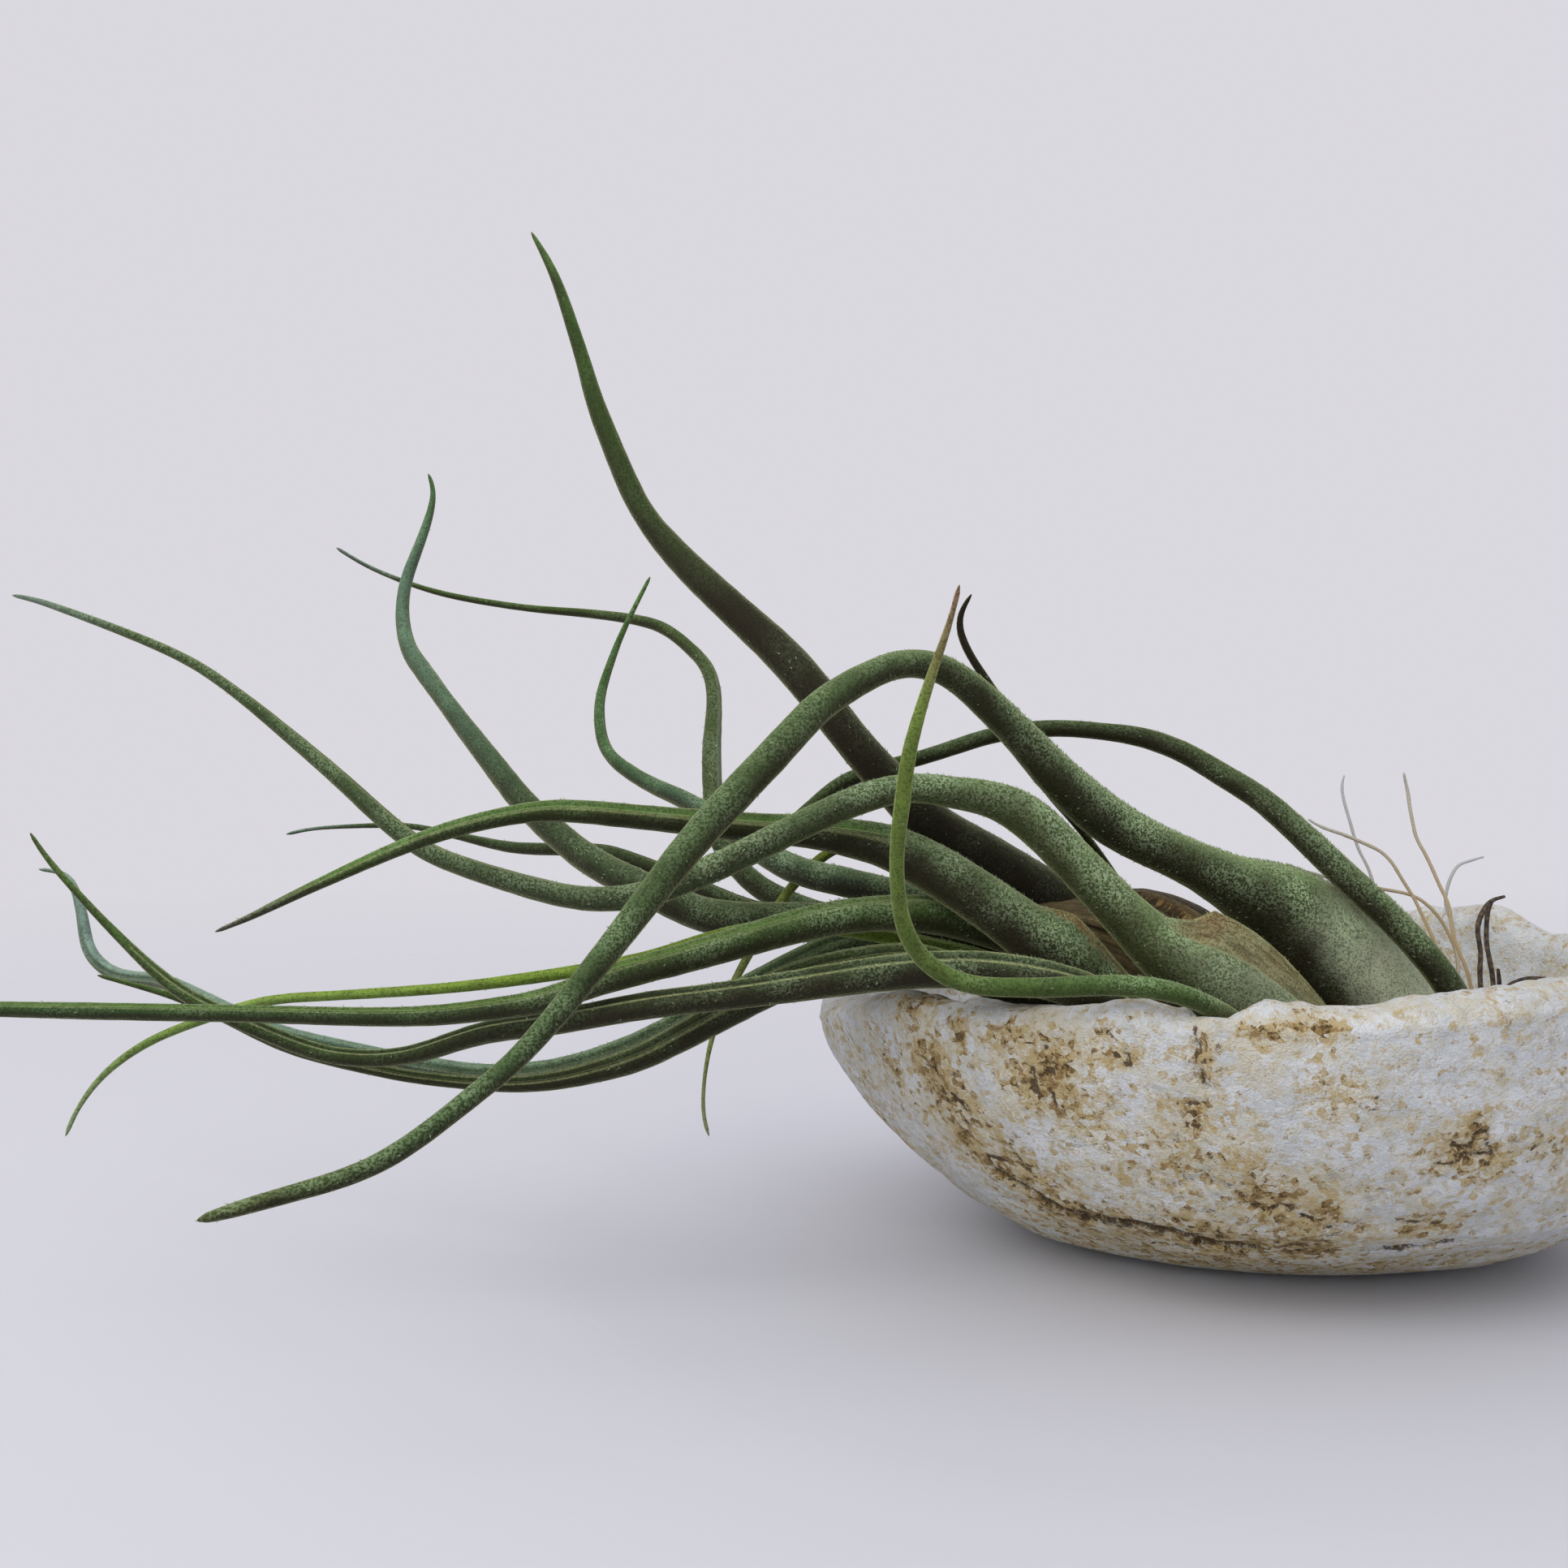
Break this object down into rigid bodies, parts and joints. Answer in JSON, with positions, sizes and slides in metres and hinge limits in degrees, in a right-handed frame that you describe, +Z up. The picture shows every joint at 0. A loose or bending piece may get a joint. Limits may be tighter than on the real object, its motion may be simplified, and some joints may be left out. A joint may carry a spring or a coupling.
{
  "type": "air plant in a rough stone bowl",
  "caption": "Air plant lying in a rough stone bowl: long tapering leaves sweep out over one side of the rim from a swollen leafy base with wiry roots.",
  "frame": {"origin": "middle of the bowl's foot, on the surface that it stands on", "axes": "+Z up; +Y away from the viewer; +X to the viewer's right, against the way that the leaves sweep"},
  "size_m": [0.3002, 0.1877, 0.1644],
  "materials": {
    "stone": null,
    "dry_stem": null,
    "leaf": null
  },
  "bodies": {
    "root": {"bowl": "stone", "stem_and_roots": "dry_stem", "leaf_high_arch": "leaf", "leaf_long_wave": "leaf", "leaf_grooved": "leaf", "leaf_upright": "leaf", "leaf_right_arch": "leaf", "leaf_level": "leaf", "leaf_low": "leaf", "leaf_over_rim": "leaf", "leaf_back_curl": "leaf", "leaf_hooked": "leaf", "leaf_short_curl": "leaf", "leaf_fine": "leaf", "leaf_dark_tip": "leaf", "leaf_far": "leaf", "leaf_sagging": "leaf", "leaf_lime": "leaf", "leaf_hanging": "leaf"}
  },
  "joints": []
}
